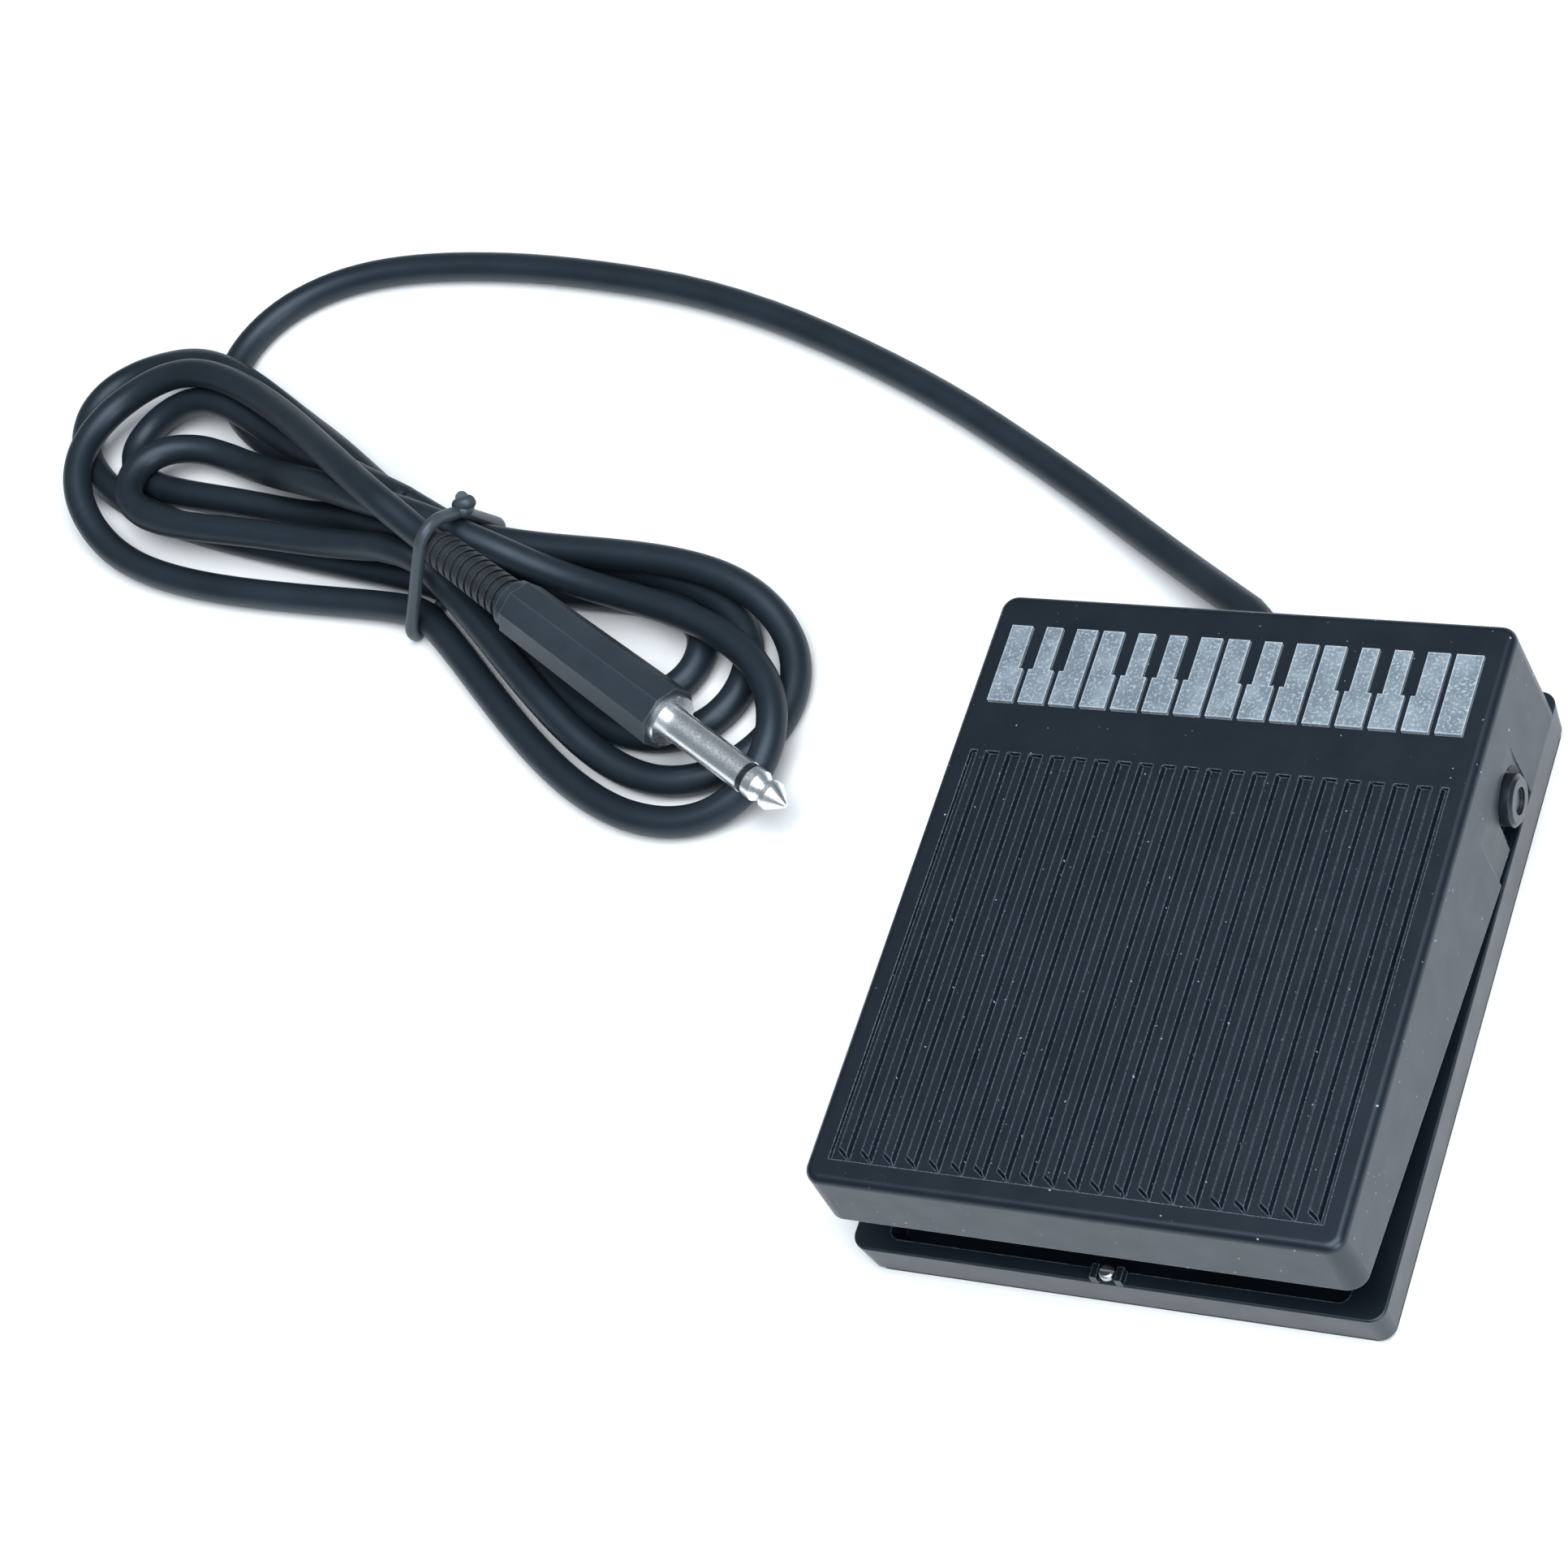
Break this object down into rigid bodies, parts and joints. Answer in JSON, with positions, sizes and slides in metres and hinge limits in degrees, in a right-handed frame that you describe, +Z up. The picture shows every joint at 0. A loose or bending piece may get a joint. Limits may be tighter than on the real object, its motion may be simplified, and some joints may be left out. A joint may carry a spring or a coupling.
{
  "type": "sustain pedal",
  "caption": "Square plastic sustain footswitch: ribbed treadle cover hinged on a low base, tied cord and 6.35 mm mono plug.",
  "frame": {"origin": "bottom centre of the pedal's sole, where it stands on the floor", "axes": "+X to the right seen from the player's side, +Y to the rear where the pivots and the cord are, +Z up"},
  "size_m": [0.3385, 0.2139, 0.0341],
  "materials": {
    "cover_plastic": "moulded, fine matt texture, slightly glossy walls",
    "badge_silver": "silver hot-stamped raised figures, worn at the edges",
    "base_plastic": "moulded, satin walls",
    "sole_rubber": "matt",
    "pin_plastic": "polished acetal",
    "spring_steel": "drawn spring wire",
    "switch_plastic": "moulded phenolic",
    "plunger_plastic": "natural nylon",
    "terminal_brass": "tinned at the end",
    "screw_steel": "zinc plated",
    "pad_rubber": "matt",
    "grommet_rubber": "matt",
    "clamp_plastic": "moulded nylon",
    "wire_red": "smooth insulation",
    "wire_white": "smooth insulation",
    "cord_jacket": "soft satin PVC jacket",
    "tie_plastic": "soft plastic-coated band",
    "relief_rubber": "moulded, ridged",
    "handle_plastic": "moulded, fine grain",
    "plug_nickel": "bright nickel plate",
    "ring_plastic": "moulded ring"
  },
  "bodies": {
    "base": {"base_tray": "base_plastic", "rubber_sole": "sole_rubber", "hinge_pin_left": "pin_plastic", "hinge_pin_right": "pin_plastic", "return_spring": "spring_steel", "switch_body": "switch_plastic", "switch_terminals": "terminal_brass", "switch_screws": "screw_steel", "clamp_screws": "screw_steel", "stop_screw": "screw_steel", "stop_pads": "pad_rubber", "cord_grommet": "grommet_rubber", "cord_clamp": "clamp_plastic", "lead_wire_live": "wire_red", "lead_wire_return": "wire_white", "cord_tube": "cord_jacket", "cord_hank": "cord_jacket", "cord_tie": "tie_plastic", "plug_strain_relief": "relief_rubber", "plug_handle": "handle_plastic", "plug_sleeve": "plug_nickel", "plug_insulator": "ring_plastic", "plug_tip": "plug_nickel"},
    "treadle": {"treadle_cover": "cover_plastic", "badge_keys": "badge_silver"},
    "plunger": {"switch_plunger": "plunger_plastic"}
  },
  "joints": [
    {"name": "treadle_hinge", "type": "hinge", "parent": "base", "child": "treadle", "pos_m": [0, 0.0333, 0.0164], "axis": [1, 0, 0], "range_deg": [0, 5.3], "stiffness_Nm_per_rad": 4.5, "springref_deg": -6.3, "deforming": ["return_spring"]},
    {"name": "plunger_slide", "type": "slide", "parent": "base", "child": "plunger", "axis": [0, 0, -1], "range_m": [0, 0.0034]}
  ],
  "couplings": [
    {"joint": "plunger_slide", "follows": "treadle_hinge", "m_per_rad": 0.0363}
  ]
}
